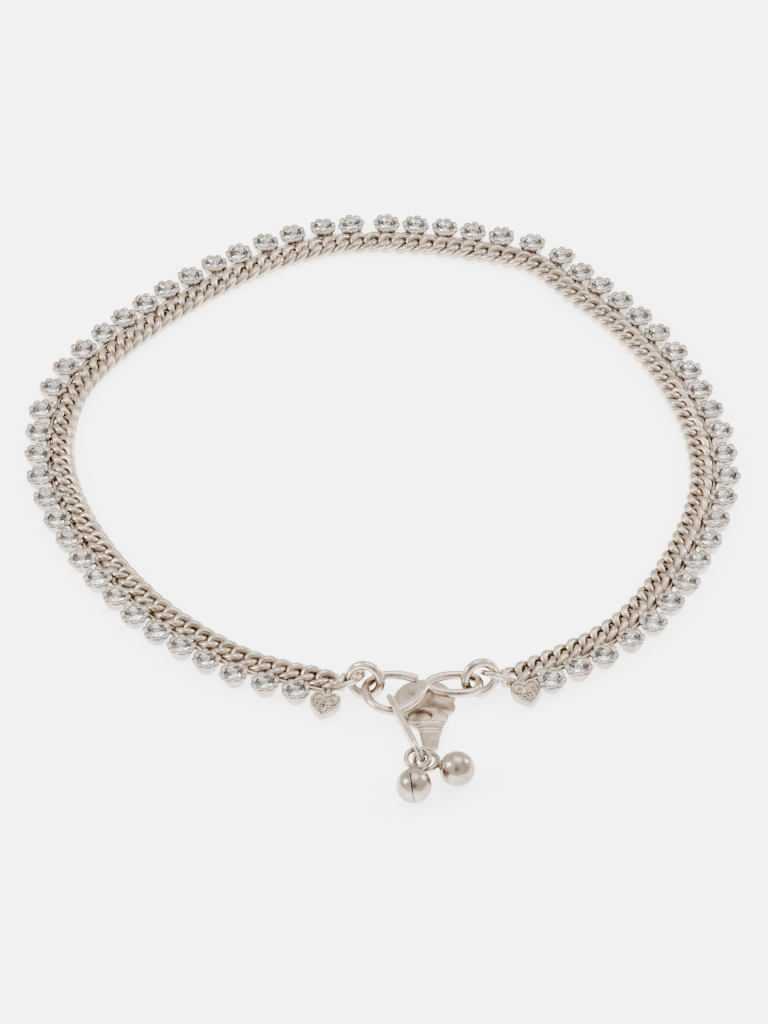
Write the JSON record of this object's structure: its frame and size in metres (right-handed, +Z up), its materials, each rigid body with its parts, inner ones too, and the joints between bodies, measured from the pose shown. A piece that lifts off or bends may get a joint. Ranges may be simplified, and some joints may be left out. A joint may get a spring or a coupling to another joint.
{
  "type": "anklet",
  "caption": "Flat curb chain anklet with a row of stone-set flower cups along its outer edge, heart tags, an S-hook clasp, jingle bells and a flower charm.",
  "frame": {"origin": "on the surface that the anklet lies on, under the middle of its box", "axes": "+Z up, +Y from the clasp towards the far side of the loop, +X from the open mouth of the hook towards its closed eye"},
  "size_m": [0.0978, 0.1146, 0.0052],
  "materials": {
    "silver": "tumbled and lightly polished cast silver, darker in the recesses",
    "stone": "clear faceted crystal with a foiled back"
  },
  "bodies": {
    "root": {"chain_left": "silver", "chain_right": "silver", "end_ring_left": "silver", "end_ring_right": "silver", "s_hook": "silver", "oval_ring": "silver", "flower_charm": "silver", "bell_front": "silver", "bell_side": "silver"}
  },
  "joints": []
}
